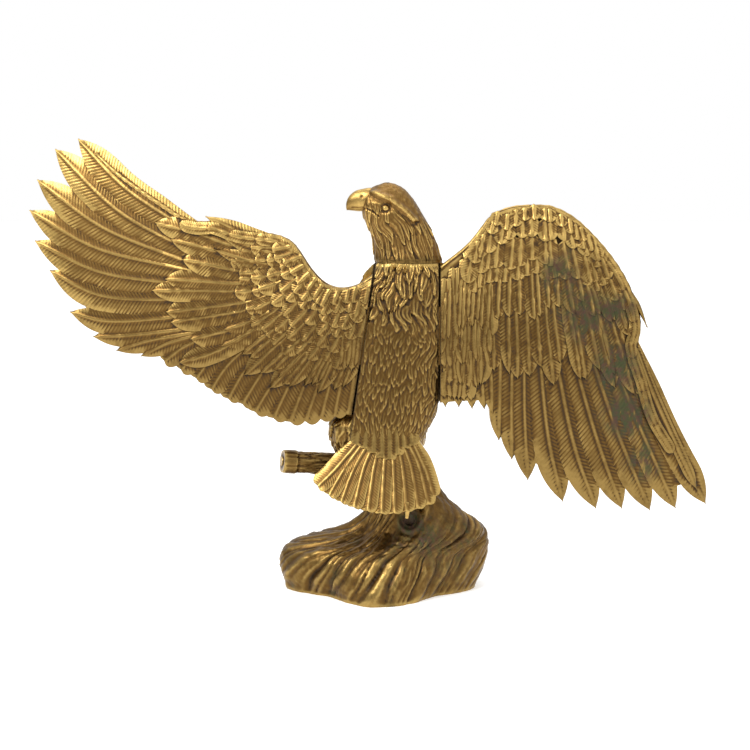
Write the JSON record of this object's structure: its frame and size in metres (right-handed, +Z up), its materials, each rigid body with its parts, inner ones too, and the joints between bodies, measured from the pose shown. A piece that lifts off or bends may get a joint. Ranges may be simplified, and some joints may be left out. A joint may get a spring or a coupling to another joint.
{
  "type": "eagle statuette",
  "caption": "Cast brass eagle with raised, spread wings on a hollow tree-stump base; each wing is a separate casting that pulls off sideways on a tongue.",
  "frame": {"origin": "middle of the stump's resting face, on the surface it stands on", "axes": "+Z up; the eagle faces +Y, so -Y is its back; its left wing is at -X"},
  "size_m": [0.4075, 0.0899, 0.268],
  "materials": {
    "wing_brass": "cast brass, worn bright on the ridges, dark in the grooves",
    "body_brass": "cast brass, satin, dark in the grooves",
    "stump_brass": "cast brass with a brown and green patina",
    "fastener_steel": "plain steel"
  },
  "bodies": {
    "stand": {"stump_casting": "stump_brass", "perch_branch": "stump_brass", "torso_casting": "body_brass", "head_casting": "body_brass", "tail_casting": "body_brass", "left_leg_casting": "body_brass", "right_leg_casting": "body_brass", "neck_stud": "fastener_steel", "left_thigh_stud": "fastener_steel", "right_thigh_stud": "fastener_steel", "left_foot_stud": "fastener_steel", "right_foot_stud": "fastener_steel", "foot_washer": "fastener_steel", "foot_nut": "fastener_steel"},
    "left_wing": {"left_wing_casting": "wing_brass", "left_wing_tongue": "fastener_steel", "left_tongue_screws": "fastener_steel"},
    "right_wing": {"right_wing_casting": "wing_brass", "right_wing_tongue": "fastener_steel", "right_tongue_screws": "fastener_steel"}
  },
  "joints": [
    {"name": "left_wing_slide", "type": "slide", "parent": "stand", "child": "left_wing", "axis": [-1, 0, 0], "range_m": [0, 0.04]},
    {"name": "right_wing_slide", "type": "slide", "parent": "stand", "child": "right_wing", "axis": [1, 0, 0], "range_m": [0, 0.04]}
  ]
}
